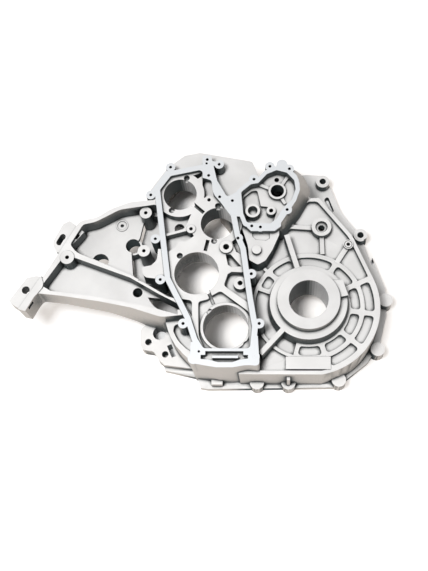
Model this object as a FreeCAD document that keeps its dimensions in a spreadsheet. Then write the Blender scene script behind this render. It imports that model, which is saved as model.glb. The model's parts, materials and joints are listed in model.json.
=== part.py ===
import FreeCAD, Part
import Sketcher
import os

# Die cast gear housing, one aluminium casting, millimetres.
# It lies on its mating face. The main bearing bore's centre on the machined top is the origin.
doc = FreeCAD.newDocument("Housing")
sheet = doc.addObject("Spreadsheet::Sheet", "Sizes")
value = {}
corner_at = {}
home = {}


def size(name, number):
    """One driving dimension: its name in column A, its number in column B."""
    row = len(value) + 1
    sheet.set("A%d" % row, name)
    sheet.set("B%d" % row, str(number))
    sheet.setAlias("B%d" % row, name)
    value[name] = float(number)


def at(name, x, y):
    """A named place in plan: a corner of an outline, or an axis."""
    size(name + "_x", x)
    size(name + "_y", y)
    corner_at[name] = FreeCAD.Vector(x, y, 0)
    home[name] = ("Sizes.%s_x" % name, "Sizes.%s_y" % name)


def tip(name, along, y):
    """A place on the arm's tip, measured along X from its far end."""
    at(name, along, y)
    corner_at[name].x = along - value["arm_reach"]
    home[name] = ("(Sizes.%s_x - Sizes.arm_reach)" % name, "Sizes.%s_y" % name)


def crown(name, x, below):
    """A place on the north side, measured along Y from the flange's crown."""
    at(name, x, below)
    corner_at[name].y = value["crown_reach"] - below
    home[name] = ("Sizes.%s_x" % name, "(Sizes.crown_reach - Sizes.%s_y)" % name)


def feature(kind, label, **props):
    made = doc.addObject(kind, label)
    made.Label = label
    for key, val in props.items():
        setattr(made, key, val)
    return made


def pin(sketch, rules, index, point, name):
    """Rules that hold a sketch point at a named place."""
    spot = corner_at[name]
    rules.append((Sketcher.Constraint("DistanceX", -1, 1, index, point, spot.x), home[name][0]))
    rules.append((Sketcher.Constraint("DistanceY", -1, 1, index, point, spot.y), home[name][1]))


def bind(sketch, rules):
    first = sketch.ConstraintCount
    sketch.addConstraint([rule for rule, _ in rules])
    for step, (_, name) in enumerate(rules):
        sketch.setExpression("Constraints[%d]" % (first + step), name)


def outline(label, names):
    """A closed outline with straight sides between named corners."""
    sketch = feature("Sketcher::SketchObject", label)
    count = len(names)
    sides = []
    for step in range(count):
        sides.append(Part.LineSegment(corner_at[names[step]], corner_at[names[(step + 1) % count]]))
    sketch.addGeometry(sides, False)
    joints = [Sketcher.Constraint("Coincident", i, 2, (i + 1) % count, 1) for i in range(count)]
    sketch.addConstraint(joints)
    rules = []
    for step, name in enumerate(names):
        pin(sketch, rules, step, 1, name)
    bind(sketch, rules)
    return sketch


def rounds(label, names, radius):
    """Circles of one radius on named axes."""
    sketch = feature("Sketcher::SketchObject", label)
    rules = []
    up = FreeCAD.Vector(0, 0, 1)
    for step, name in enumerate(names):
        sketch.addGeometry(Part.Circle(corner_at[name], up, value[radius]), False)
        pin(sketch, rules, step, 3, name)
        rules.append((Sketcher.Constraint("Radius", step, value[radius]), "Sizes." + radius))
    bind(sketch, rules)
    return sketch


def grown(label, source, amount, corners="Arc"):
    """The outline moved outwards by a size, or inwards by a negative one."""
    made = feature("Part::Offset2D", label, Source=source, Join=corners, Fill=False)
    made.setExpression("Value", amount)
    return made


def softened(label, source, radius):
    """The outline with its outer corners rounded."""
    inner = grown(label + "_core", source, "-Sizes." + radius)
    return grown(label, inner, "Sizes." + radius)


def block(label, base, bottom, top):
    """Straight walls on an outline, between two levels above the mating face."""
    made = feature("Part::Extrusion", label, Base=base, DirMode="Custom", Solid=True)
    made.Dir = FreeCAD.Vector(0, 0, 1)
    made.setExpression("LengthFwd", top)
    made.setExpression("LengthRev", "-(%s)" % bottom)
    return made


def disc(label, name, radius, bottom, top):
    made = feature("Part::Cylinder", label)
    made.setExpression("Radius", radius)
    made.setExpression("Height", "%s - (%s)" % (top, bottom))
    made.setExpression("Placement.Base.x", home[name][0])
    made.setExpression("Placement.Base.y", home[name][1])
    made.setExpression("Placement.Base.z", bottom)
    return made


def rib(label, start, end, width, bottom, top):
    """A straight rib of one width, centred on the line between two named places."""
    run_x = "(%s - %s)" % (home[end][0], home[start][0])
    run_y = "(%s - %s)" % (home[end][1], home[start][1])
    turn = "atan2(%s; %s)" % (run_y, run_x)
    made = feature("Part::Box", label)
    made.setExpression("Length", "hypot(%s; %s)" % (run_x, run_y))
    made.setExpression("Width", "Sizes." + width)
    made.setExpression("Height", "%s - (%s)" % (top, bottom))
    made.setExpression("Placement.Rotation.Angle", turn)
    made.setExpression("Placement.Base.x", "%s + Sizes.%s / 2 * sin(%s)" % (home[start][0], width, turn))
    made.setExpression("Placement.Base.y", "%s - Sizes.%s / 2 * cos(%s)" % (home[start][1], width, turn))
    made.setExpression("Placement.Base.z", bottom)
    return made


def spoke(label, angle, inner, outer, top):
    """A radial rib on the dome, at an angle about the main bore."""
    made = feature("Part::Box", label)
    made.setExpression("Length", "%s - (%s)" % (outer, inner))
    made.setExpression("Width", "Sizes.dome_rib_width")
    made.setExpression("Height", "%s - Sizes.roof_under" % top)
    made.setExpression("Placement.Rotation.Angle", angle)
    made.setExpression("Placement.Base.x",
                       "%s * cos(%s) + Sizes.dome_rib_width / 2 * sin(%s)" % (inner, angle, angle))
    made.setExpression("Placement.Base.y",
                       "%s * sin(%s) - Sizes.dome_rib_width / 2 * cos(%s)" % (inner, angle, angle))
    made.setExpression("Placement.Base.z", "Sizes.roof_under")
    return made


def fused(label, pieces):
    return feature("Part::MultiFuse", label, Shapes=pieces, Refine=False)


def less(label, body, cutter, tidy=False):
    return feature("Part::Cut", label, Base=body, Tool=cutter, Refine=tidy)


# Main sizes in plan, from the main bore.
size("arm_reach", 480)
size("crown_reach", 273)

# Levels above the mating face.
size("below", -2)
size("flange_top", 14)
size("ear_top", 28)
size("bolt_boss_top", 30)
size("roof_under", 70)
size("pocket_floor", 77)
size("dome_top", 84)
size("web_under", 91)
size("web_pocket_floor", 97)
size("plate_top", 96)
size("step_top", 103)
size("pump_floor", 103)
size("tongue_top", 110)
size("web_face", 113)
size("fourth_floor", 104)
size("fourth_ring_top", 108)
size("machined_top", 120)
size("above", 125)
size("overlap", 1)
size("sleeve_end", 68)
size("hub_end", 46)
size("arm_top", 118.5)
size("arm_web_under", 80)
size("arm_north_floor", 87)
size("arm_south_floor", 93)
size("well_floor", 62)
size("slot_floor", 108)
size("pump_low_floor", 97)

# Walls, ribs, corners.
size("wall", 6)
size("rim_width", 9)
size("pump_rim_width", 7)
size("dome_rib_width", 5)
size("rib_width", 5)
size("soft_corner", 6)

# Bearing bores and their rings.
size("small_bore_radius", 27.5)
size("large_bore_radius", 36)
size("main_bore_radius", 31)
size("small_ring_radius", 40)
size("large_ring_radius", 44)
size("fourth_ring_radius", 40)
size("hub_radius", 49)
size("hub_step_radius", 61)
size("hub_foot_radius", 66)
size("ring_rib_radius", 87)
at("main", 0, 0)
at("input", -209, 184)
at("second", -146, 132)
at("third", -178, 46)
at("fourth", -130, -42)

# Outline of the bearing recess on top.
at("recess_north_east", -172, 226)
at("recess_north_west", -225, 215)
at("recess_west_high", -242, 190)
at("recess_west_low", -219, 36)
at("recess_south_west", -185, -29)
at("recess_toe_west", -173, -64)
at("recess_toe", -163, -80)
at("recess_heel", -91, -80)
at("recess_east_low", -88, -45)
at("recess_east_mid", -96, 0)
at("recess_east_high", -108, 84)
at("recess_neck", -117, 106)
at("recess_shoulder", -124, 142)
at("recess_saddle", -141, 166)
at("recess_pocket_east", -154, 182)
at("recess_pocket_top", -157, 206)
at("recess_pocket_west", -172, 211)

# South end of the rim, outside the recess.
at("south_west_top", -183, -70)
at("south_west", -184, -103)
at("south_bow_west", -143, -110)
at("south_bow_east", -117, -110)
at("south_east_turn", -95, -106)
at("south_east", -76, -108)
at("south_east_top", -79, -60)

# Spine and wide face between recess and pump.
at("spine_north_west", -173, 251)
at("spine_north_east", -159, 252)
at("spine_mid_east", -148, 206)
at("saddle_north", -131, 176)
at("saddle_north_east", -112, 186)
at("saddle_east", -105, 140)

# Smooth plate on the north side.
at("plate_west", -263, 199)
crown("plate_north_west", -235, 32)
crown("plate_crown_west", -206, 9)
crown("plate_crown", -180, 4)
crown("plate_north_east", -91, 22)
crown("plate_east", -80, 49)
at("plate_inner_east", -98, 176)
at("plate_inner_west", -238, 176)

at("rim_land_west", -257, 188)
at("rim_land_north", -233, 224)
at("rim_land_north_east", -213, 224)
at("rim_land_inner_east", -213, 213)
at("rim_land_inner", -242, 184)

# Pump pocket.
at("pump_west_high", -108, 184)
at("pump_step_west", -92, 198)
at("pump_step_east", -80, 200)
at("pump_north_west", -66, 216)
at("pump_north", -50, 223)
at("pump_north_east", -33, 218)
at("pump_east_high", -21, 204)
at("pump_east", -19, 188)
at("pump_east_low", -25, 170)
at("pump_south_east", -40, 154)
at("pump_toe_east", -50, 136)
at("pump_toe", -60, 128)
at("pump_heel", -98, 130)
at("pump_west_low", -104, 146)

at("toe_land_west_high", -104, 131)
at("toe_land_west", -98, 122)
at("toe_land_south_west", -91, 115)
at("toe_land_south_east", -53, 115)
at("toe_land_east", -43, 123)
at("toe_land_east_high", -43, 132)

# Flank of the pump pocket, at its foot on the dome and at the rim.
at("foot_north", -21, 242)
at("foot_north_east", -4, 227)
at("foot_east", 5, 203)
at("foot_east_low", 3, 185)
at("foot_south_east", -13, 156)
at("foot_south", -40, 117)
at("foot_south_west", -64, 117)
at("foot_north_west", -64, 242)
at("brow_north", -30, 226)
at("brow_north_east", -17, 213)
at("brow_east", -12.5, 198)
at("brow_east_low", -12.5, 186)
at("brow_south_east", -22, 162)
at("brow_south", -46, 124)
at("brow_south_west", -64, 124)
at("brow_north_west", -64, 226)

# Tongue south of the pump.
at("tongue_north_west", -108, 130)
at("tongue_west", -96, 93)
at("tongue_south_west", -94, 69)
at("tongue_tip", -80, 61)
at("tongue_south_east", -68, 68)
at("tongue_east", -57, 86)
at("tongue_north_east", -46, 112)
at("tongue_root_east", -46, 130)

# Dome over the main gear.
size("dome_radius", 114)
at("dome_north", 20, 188)
at("dome_north_east", 38, 165)
at("dome_shoulder", 73, 120)
at("dome_arc_start", 105.5, 43.2)
at("dome_arc_end", 20, -112.2)
at("dome_south_west", -110, -112.2)
at("dome_north_west", -110, 188)

# Mating flange.
crown("flange_north", -3, 8)
crown("flange_corner", 25, 10)
crown("flange_bolt_side", 43, 33)
at("flange_slope", 60, 193)
at("flange_north_east", 100, 138)
at("flange_east_high", 131, 52)
at("flange_east_low", 131, 4)
at("flange_south_east", 120, -40)
at("flange_south_turn", 97, -76)
at("flange_south_corner", 46, -117)
at("flange_south_west", -163, -121)
at("flange_south_step", -176, -119)
at("flange_south_slope", -182, -102)
at("flange_ear_south", -236, -90)
at("flange_west_low", -262, 5)
at("flange_west_high", -262, 180)
at("flange_plate_west", -271, 203)
crown("flange_plate_north_west", -240, 24)
crown("flange_plate_crown", -206, 0)
crown("flange_plate_east", -60, 21)

# Bolts through the flange.
size("flange_boss_radius", 11.5)
size("flange_hole_radius", 5.5)
size("relief", 2)
crown("flange_bolt_north", 29, 29)
at("flange_bolt_north_east", 91, 143)
at("blind_boss_east", 129, 27)
at("blind_boss_south_east", 113, -57)
at("blind_boss_corner", 49, -108)
at("blind_boss_south", -32, -113)
at("blind_boss_south_west", -83, -113)

# Gaps between the dome and the flange on its north-east side.
at("flange_gap_north_west", 30.5, 216.9)
at("flange_gap_north_north", 38.4, 222.5)
at("flange_gap_north_east", 48.2, 194.8)
at("flange_gap_north_south", 43.9, 191.1)
at("flange_gap_east_west", 96.3, 134.7)
at("flange_gap_east_north", 101.4, 137.4)
at("flange_gap_east_east", 113.7, 99)
at("flange_gap_east_south", 110.1, 94.5)

# Low ear at the south west.
at("ear_north", -250, 0)
at("ear_west_high", -279, -22)
at("ear_west_low", -276, -58)
at("ear_notch", -254, -61)
at("ear_south_west", -246, -75)
at("ear_south", -236, -84)
at("ear_south_east", -190, -90)
at("ear_root", -190, 0)
size("ear_hole_radius", 5.5)
size("ear_big_hole_radius", 11)
at("ear_hole_west", -264, -45)
at("ear_hole_south", -235, -66)
at("ear_big_hole", -246, -30)

# Arm, its walls, pockets and the curve of its underside.
tip("arm_north_west", 107, 136)
tip("arm_north_low", 136, 142)
at("arm_north_mid", -324, 156)
at("arm_north_high", -291, 169)
at("arm_root_north", -235, 174)
at("arm_root_south", -195, -25)
at("arm_south_root", -231, -29)
at("arm_south_high", -281, -13)
at("arm_south_mid", -330, -3)
tip("arm_south_low", 85, 7)
tip("arm_south_west", 39, 12)
tip("pocket_north_west", 113, 130)
tip("pocket_north_low", 133, 134)
at("pocket_north_high", -307, 156)
at("pocket_north_root", -230, 167)
at("pocket_root", -205, 0)
at("brace_root_high", -222, 5)
at("brace_mid_high", -284, 42)
tip("brace_west_high", 105, 81)
tip("pocket_west", 94, 95)
tip("brace_west_low", 100, 73)
at("brace_mid_low", -284, 37)
at("brace_root_low", -207, -8)
at("pocket_south_root", -205, -25)
at("pocket_south_high", -254, -11)
at("pocket_south_mid", -331, 4)
tip("pocket_south_west", 68, 15)
tip("pocket_south_corner", 53, 24)
tip("pocket_west_low", 81, 68)
size("arm_tip_under", 74)
size("arm_mid_under", 61)
size("arm_root_under", 32)

size("slot_width", 8)
at("well_north", -270, 156)
at("well_east_high", -236, 156)
at("well_east_low", -224, 30)
at("well_south", -262, 38)
at("well_west_low", -285, 50)
at("well_west_mid", -290, 92)
at("well_west_high", -277, 118)
at("gap_north_west", -272, 33)
at("gap_north_mid", -250, 37)
at("gap_north_east", -215, 36)
at("gap_tip", -212, 8)
at("gap_south", -238, 19)
at("gully_west", -258, 12)
at("gully_north", -238, 10)
at("gully_east", -203, -8)
at("gully_tip", -203, -17)
at("gully_south", -229, -15)
at("gully_south_west", -250, -2)
at("gusset_north_west", -266, 55)
at("gusset_north_mid", -251, 58)
at("gusset_north_east", -242, 67)
at("gusset_north", -241, 86)
at("gusset_east_high", -228, 86)
at("gusset_east_low", -221, 29)
at("gusset_south", -239, 35)
at("gusset_south_west", -263, 38)
tip("arm_boss_tip", 91, 72)
at("arm_boss_north", -265, 152)
at("arm_boss_root", -265, 85)
size("arm_tip_boss_radius", 11.5)
size("arm_boss_radius", 10)
at("arm_hole_north", -288, 104)
at("arm_hole_brace", -341, 76)
at("arm_hole_south", -275, 20)
size("arm_hole_radius", 12)
size("arm_brace_hole_radius", 14)
size("arm_small_hole_radius", 8)
size("brace_angle", -23.5)
tip("lug_north_west", 78, 134)
tip("lug_north_east", 89, 139)
tip("lug_east", 101, 130)
tip("lug_root_high", 114, 119)
tip("lug_root_low", 83, 81)
tip("lug_south", 71, 84)
tip("lug_west", 62, 100)
tip("lug_slot_high", 79, 111)
tip("lug_slot_low", 74, 101)
size("lug_slot_radius", 5)
size("lug_under", 90)
size("lug_top", 112)
tip("shelf_north_west", 26, 39)
tip("shelf_north_east", 41, 42)
tip("shelf_root_high", 57, 40)
tip("shelf_root_low", 43, 13)
tip("shelf_south_east", 19, -14)
tip("shelf_south_west", 4, -5)
tip("shelf_west", 0, 0)
tip("shelf_hole", 26, 18)
size("shelf_hole_radius", 6.5)
size("shelf_under", 88)
size("shelf_top", 114)
tip("toe_north", 51, 40)
tip("toe_east", 57, 23)
tip("toe_south_east", 42, 4)
tip("toe_south", 30, -19)
tip("toe_west", 18, -16)
size("toe_under", 74)
at("ear_slot_high", -229, -50)
at("ear_slot_low", -220, -70)
size("land_top", 90)
size("land_floor", 78)
at("land_north_west", -229, -25)
at("land_west_high", -223, -44)
at("land_west_low", -218, -55)
at("land_south_west", -210, -68)
at("land_south", -198, -81)
at("land_corner", -185, -93)
at("land_inner_south", -172, -92)
at("land_inner_north", -190, -20)
at("land_pocket_north_west", -214, -34)
at("land_pocket_west", -215, -44)
at("land_pocket_south_west", -207, -60)
at("land_pocket_south", -193, -73)
at("land_pocket_corner", -185, -78)
at("land_pocket_inner_low", -176, -72)
at("land_pocket_inner_high", -194, -28)

# Pockets sunk in the bearing web.
at("input_pocket_north_west", -239, 153)
at("input_pocket_north_east", -188, 153)
at("input_pocket_east", -193, 140)
at("input_pocket_south_east", -200, 123)
at("input_pocket_south_west", -233, 113.5)
at("west_pocket_north_west", -232, 109.5)
at("west_pocket_north_east", -190, 121)
at("west_pocket_east", -184, 110)
at("west_pocket_mid", -197, 101)
at("west_pocket_shelf", -209, 102)
at("west_pocket_south_east", -213, 92)
at("west_pocket_south", -227, 81)
at("spine_pocket_north_west", -173, 214)
at("spine_pocket_north_east", -156, 214)
at("spine_pocket_south_east", -150, 182)
at("spine_pocket_south_west", -172, 177)
at("crown_pocket_west", -190, 218)
at("crown_pocket_north", -174, 224)
at("crown_pocket_east", -174, 217)
at("crown_pocket_south", -181, 212)
at("neck_pocket_north_west", -124, 104)
at("neck_pocket_north_east", -112, 104)
at("neck_pocket_east", -106, 77)
at("neck_pocket_south", -115, 82)
at("brace_pocket_north", -132, 78)
at("brace_pocket_east", -124, 78)
at("brace_pocket_south_east", -106, 57)
at("brace_pocket_south", -122, 56)
at("brace_pocket_west", -128, 60)
at("east_pocket_north_east", -102, 47)
at("east_pocket_north", -122, 48)
at("east_pocket_north_west", -128, 44)
at("east_pocket_west", -134, 25)
at("east_pocket_south", -96, -3)
at("wedge_pocket_north", -201, 3)
at("wedge_pocket_east", -184, 0)
at("wedge_pocket_south", -183, -27)
at("fourth_pocket_north_west", -174, -2)
at("fourth_pocket_north", -159, 2)
at("fourth_pocket_step", -151, 9)
at("fourth_pocket_crown", -139, 16)
at("fourth_pocket_north_east", -93, -19)
at("fourth_pocket_south_east", -92, -79)
at("fourth_pocket_south", -162, -79)
at("fourth_pocket_west", -172, -58)

# Bosses in the recess.
size("recess_boss_radius", 7.5)
size("gallery_stud_top", 115)
size("tall_boss_radius", 10.5)
size("tall_boss_top", 118)
at("spine_boss", -161, 174)
at("gallery_boss", -189, 122)
at("tall_boss", -131, 89)
at("stud_boss", -108, 29)

# Slot in the south end of the rim.
at("slot_north_west", -160, -84.5)
at("slot_north_east", -101, -84.5)
at("slot_step_east", -101, -90.5)
at("slot_east_high", -93, -90.5)
at("slot_east_low", -93, -96)
at("slot_south_east", -107, -98)
at("slot_bow_east", -118, -102)
at("slot_bow_west", -140, -102)
at("slot_south_west", -155, -98)
at("slot_west_low", -167, -97)
at("slot_west_high", -167, -90.5)
at("slot_step_west", -160, -90.5)
at("slot_tongue_west", -149, -93.5)
at("slot_tongue_east", -109, -93.5)
size("slot_tongue_width", 4)

# Fittings of the pump pocket.
size("pump_collar_radius", 14.5)
size("pump_shaft_radius", 11)
size("pump_shaft_end", 84)
size("pump_cup_radius", 12)
size("pump_cup_bore", 8)
size("pump_boss_radius", 7.5)
size("pump_fitting_top", 110)
size("pump_cup_top", 113)
size("pump_rib_top", 107)
at("pump_shaft", -49, 190)
at("pump_cup", -89, 154)
at("pump_stud", -59, 155)
at("pump_low_north_west", -106, 181)
at("pump_low_north", -92, 193)
at("pump_low_step", -82, 195)
at("pump_low_mid", -76, 166)
at("pump_low_inner", -66, 165)
at("pump_low_east", -50, 155)
at("pump_low_south_east", -57, 132)
at("pump_low_south", -97, 134)
at("pump_low_west", -102, 148)
at("pump_rib_east", -32, 217)
at("pump_rib_west", -78, 203)
at("pump_rib_south", -36, 168)

# Tongue's sunk pad and button.
at("pad_north_west", -91, 118)
at("pad_west", -89, 109)
at("pad_south_west", -84, 104)
at("pad_south_east", -67, 102)
at("pad_east", -61, 106)
at("pad_north_east", -61, 118)
size("pad_floor", 108)
size("button_radius", 7)
size("button_top", 112)
at("button", -82, 84)

# Raised pieces on the dome.
size("cap_radius", 16)
size("cap_cup_radius", 10)
size("cap_top", 92)
size("cap_floor", 86)
at("cap", 23, 133)
size("knob_radius", 6.5)
at("knob", 66, 104)
at("cap_rib_west", -28, 137)
at("cap_rib_south", 24, 90)
at("hub_lug_north_west", 38, 34)
at("hub_lug_north_east", 54, 35)
at("hub_lug_south_east", 62, 9)
at("hub_lug_south_west", 48, 6)
size("label_top", 85)
size("knob_top", 87)
at("label_south_west", -36, -104)
at("label_south_east", 34, -104)
at("label_north_east", 34, -84)
at("label_north_west", -36, -84)
at("fin_north", -32, -104)
at("fin_south", -32, -118)
at("spine_neck_west", -163, 238)

# Fixings in the machined rims.
size("rim_boss_radius", 8)
at("rim_bolt_west", -257, 181)
crown("rim_bolt_north_west", -226, 42)
crown("rim_bolt_north", -165, 29)
at("rim_bolt_north_east", -145, 235)
at("rim_bolt_saddle", -143, 176)
at("rim_bolt_saddle_east", -122, 169)
at("rim_bolt_west_mid", -246, 103)
at("rim_bolt_west_low", -235, 33)
at("rim_bolt_south_west", -196, -40)
at("rim_bolt_toe", -177, -95)
at("rim_bolt_heel", -85, -94)
at("rim_bolt_east_low", -77, -40)
at("rim_bolt_east", -90, 42)
at("rim_bolt_neck", -112, 103)
at("rim_bolt_spine", -162, 215)
at("pump_bolt_west", -87, 207)
at("pump_bolt_north", -61, 230)
at("pump_bolt_north_east", -29, 225)
at("pump_bolt_south_east", -33, 152)
at("pump_bolt_toe", -76, 122)
at("pump_bolt_heel", -90, 124)

case = block("case", grown("case_outline", outline("recess_outline", [
    "recess_north_east", "recess_north_west", "recess_west_high", "recess_west_low",
    "recess_south_west", "recess_toe_west", "recess_toe", "recess_heel",
    "recess_east_low", "recess_east_mid", "recess_east_high", "recess_neck",
    "recess_shoulder", "recess_saddle", "recess_pocket_east", "recess_pocket_top",
    "recess_pocket_west",
]), "Sizes.rim_width"), "0", "Sizes.machined_top")
recess_outline = doc.getObject("recess_outline")
recess = block("recess", softened("recess_edge", recess_outline, "soft_corner"),
               "Sizes.web_face", "Sizes.above")
case_hollow = block("case_hollow", grown("case_hollow_edge", recess_outline,
                                         "Sizes.rim_width - Sizes.wall", "Intersection"),
                    "Sizes.below", "Sizes.web_under")
south_end = block("south_end", outline("south_end_outline", [
    "south_west_top", "south_west", "south_bow_west", "south_bow_east",
    "south_east_turn", "south_east", "south_east_top",
]), "0", "Sizes.machined_top")
spine = block("spine", outline("spine_outline", [
    "spine_north_west", "spine_north_east", "spine_mid_east", "saddle_north",
    "recess_saddle", "recess_pocket_east", "recess_pocket_top", "recess_pocket_west",
]), "Sizes.web_under", "Sizes.machined_top")
saddle = block("saddle", outline("saddle_outline", [
    "saddle_north", "saddle_north_east", "saddle_east", "recess_shoulder", "recess_saddle",
]), "Sizes.web_under", "Sizes.machined_top")
plate_outline = outline("plate_outline", [
    "plate_west", "plate_north_west", "plate_crown_west", "plate_crown",
    "plate_north_east", "plate_east", "plate_inner_east", "plate_inner_west",
])
plate = block("plate", softened("plate_edge", plate_outline, "soft_corner"), "0", "Sizes.plate_top")
plate_hollow = block("plate_hollow", grown("plate_hollow_edge", plate_outline, "-Sizes.wall",
                                           "Intersection"),
                     "Sizes.below", "Sizes.plate_top - Sizes.wall")
pump_outline = outline("pump_outline", [
    "pump_west_high", "pump_step_west", "pump_step_east", "pump_north_west", "pump_north",
    "pump_north_east", "pump_east_high", "pump_east", "pump_east_low", "pump_south_east",
    "pump_toe_east", "pump_toe", "pump_heel", "pump_west_low",
])
pump = block("pump", grown("pump_rim_edge", pump_outline, "Sizes.pump_rim_width"),
             "0", "Sizes.machined_top")
pump_toe_land = block("pump_toe_land", outline("toe_land_outline", [
    "toe_land_west_high", "toe_land_west", "toe_land_south_west", "toe_land_south_east",
    "toe_land_east", "toe_land_east_high",
]), "Sizes.roof_under", "Sizes.machined_top")
rim_land = block("rim_land", outline("rim_land_outline", [
    "rim_land_west", "rim_land_north", "rim_land_north_east", "rim_land_inner_east",
    "rim_land_inner",
]), "Sizes.web_under", "Sizes.machined_top")
pump_pocket = block("pump_pocket", softened("pump_edge", pump_outline, "rib_width"),
                    "Sizes.pump_floor", "Sizes.above")
pump_hollow = block("pump_hollow", pump_outline, "Sizes.below", "Sizes.pump_low_floor - Sizes.wall")
foot_outline = outline("foot_outline", [
    "foot_north", "foot_north_east", "foot_east", "foot_east_low",
    "foot_south_east", "foot_south", "foot_south_west", "foot_north_west",
])
foot_outline.setExpression("Placement.Base.z", "Sizes.dome_top")
brow_outline = outline("brow_outline", [
    "brow_north", "brow_north_east", "brow_east", "brow_east_low",
    "brow_south_east", "brow_south", "brow_south_west", "brow_north_west",
])
brow_outline.setExpression("Placement.Base.z", "Sizes.machined_top")
flank = feature("Part::Loft", "flank", Sections=[foot_outline, brow_outline], Solid=True, Ruled=True)
pump_base = block("pump_base", foot_outline, "-Sizes.dome_top", "0")
tongue_outline = outline("tongue_outline", [
    "tongue_north_west", "tongue_west", "tongue_south_west", "tongue_tip",
    "tongue_south_east", "tongue_east", "tongue_north_east", "tongue_root_east",
])
tongue = block("tongue", softened("tongue_edge", tongue_outline, "rib_width"),
               "Sizes.roof_under", "Sizes.tongue_top")
tongue_hollow = block("tongue_hollow", grown("tongue_hollow_edge", tongue_outline, "-Sizes.wall",
                                             "Intersection"),
                      "Sizes.below", "Sizes.tongue_top - Sizes.wall")

# The dome's outline: straight flanks and one arc about the main bore.
dome_outline = feature("Sketcher::SketchObject", "dome_outline")
dome_chain = ["dome_arc_end", "dome_south_west", "dome_north_west", "dome_north",
              "dome_north_east", "dome_shoulder", "dome_arc_start"]
for step in range(len(dome_chain) - 1):
    dome_outline.addGeometry(
        Part.LineSegment(corner_at[dome_chain[step]], corner_at[dome_chain[step + 1]]), False)
start, end = corner_at["dome_arc_start"], corner_at["dome_arc_end"]
far = FreeCAD.Vector(value["dome_radius"], -20, 0)
dome_outline.addGeometry(Part.Arc(end, far, start), False)
last = len(dome_chain) - 1
dome_outline.addConstraint(
    [Sketcher.Constraint("Coincident", i, 2, i + 1, 1) for i in range(last - 1)]
    + [Sketcher.Constraint("Coincident", last - 1, 2, last, 2),
       Sketcher.Constraint("Coincident", last, 1, 0, 1)])
rules = []
for step, name in enumerate(dome_chain[:-1]):
    pin(dome_outline, rules, step, 1, name)
pin(dome_outline, rules, last - 1, 2, "dome_arc_start")
bind(dome_outline, rules)
spot = dome_outline.ConstraintCount
dome_outline.addConstraint(Sketcher.Constraint("Radius", last, value["dome_radius"]))
dome_outline.setExpression("Constraints[%d]" % spot, "Sizes.dome_radius")

dome_body = block("dome_body", dome_outline, "0", "Sizes.dome_top")
dome_inner = grown("dome_inner_edge", dome_outline, "-Sizes.wall")
dome_pocket = block("dome_pocket", dome_inner, "Sizes.pocket_floor", "Sizes.above")
dome_hollow = block("dome_hollow", dome_inner, "Sizes.below", "Sizes.roof_under")
dome = less("dome", dome_body, dome_pocket)
dome_ring_outer = disc("dome_ring_outer", "main", "Sizes.ring_rib_radius + Sizes.dome_rib_width / 2",
                       "Sizes.roof_under", "Sizes.dome_top")
dome_ring_inner = disc("dome_ring_inner", "main", "Sizes.ring_rib_radius - Sizes.dome_rib_width / 2",
                       "Sizes.roof_under", "Sizes.dome_top")
dome_ring = less("dome_ring", dome_ring_outer, dome_ring_inner)

# Radial ribs, at an even step from the first.
size("first_rib_angle", 57.5)
size("rib_step_angle", 32.5)
size("long_rib_angle", 106.5)
size("long_rib_end", 120)
size("north_west_rib_angle", 138)
size("north_west_rib_end", 95)
size("west_rib_angle", 160)
size("diagonal_rib_angle", 228)
size("diagonal_rib_end", 113)
spokes = []
for step in range(6):
    angle = "Sizes.first_rib_angle - %d * Sizes.rib_step_angle" % step
    reach = "Sizes.dome_radius - Sizes.wall / 2" if step < 4 else "Sizes.ring_rib_radius"
    spokes.append(spoke("dome_rib_%d" % (step + 1), angle, "Sizes.hub_radius", reach, "Sizes.dome_top"))
spokes.append(spoke("long_rib", "Sizes.long_rib_angle", "Sizes.hub_radius", "Sizes.long_rib_end",
                    "Sizes.step_top"))
spokes.append(spoke("north_west_rib", "Sizes.north_west_rib_angle", "Sizes.hub_radius",
                    "Sizes.north_west_rib_end", "Sizes.dome_top"))
spokes.append(spoke("west_rib", "Sizes.west_rib_angle", "Sizes.hub_radius",
                    "Sizes.ring_rib_radius", "Sizes.dome_top"))
spokes.append(spoke("diagonal_rib", "Sizes.diagonal_rib_angle", "Sizes.hub_radius",
                    "Sizes.diagonal_rib_end", "Sizes.step_top"))

dome_extras = [
    disc("cap_wall", "cap", "Sizes.cap_radius", "Sizes.roof_under", "Sizes.cap_top"),
    disc("knob_wall", "knob", "Sizes.knob_radius", "Sizes.roof_under", "Sizes.knob_top"),
    rib("cap_rib_1", "cap", "cap_rib_west", "dome_rib_width", "Sizes.roof_under", "Sizes.dome_top"),
    rib("cap_rib_2", "cap", "cap_rib_south", "dome_rib_width", "Sizes.roof_under", "Sizes.dome_top"),
    rib("south_fin", "fin_north", "fin_south", "dome_rib_width", "0", "Sizes.roof_under"),
    block("hub_lug", outline("hub_lug_outline", [
        "hub_lug_north_west", "hub_lug_north_east", "hub_lug_south_east", "hub_lug_south_west",
    ]), "Sizes.roof_under", "Sizes.tongue_top"),
    block("label_pad", outline("label_outline", [
        "label_south_west", "label_south_east", "label_north_east", "label_north_west",
    ]), "Sizes.roof_under", "Sizes.label_top"),
    rib("spine_neck", "spine_neck_west", "rim_bolt_north_east", "rim_boss_radius",
        "Sizes.plate_top - Sizes.wall", "Sizes.machined_top"),
]

hub_foot = feature("Part::Cone", "hub_foot")
hub_foot.setExpression("Radius1", "Sizes.hub_foot_radius")
hub_foot.setExpression("Radius2", "Sizes.hub_step_radius")
hub_foot.setExpression("Height", "Sizes.step_top - Sizes.roof_under")
hub_foot.setExpression("Placement.Base.z", "Sizes.roof_under")

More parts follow.
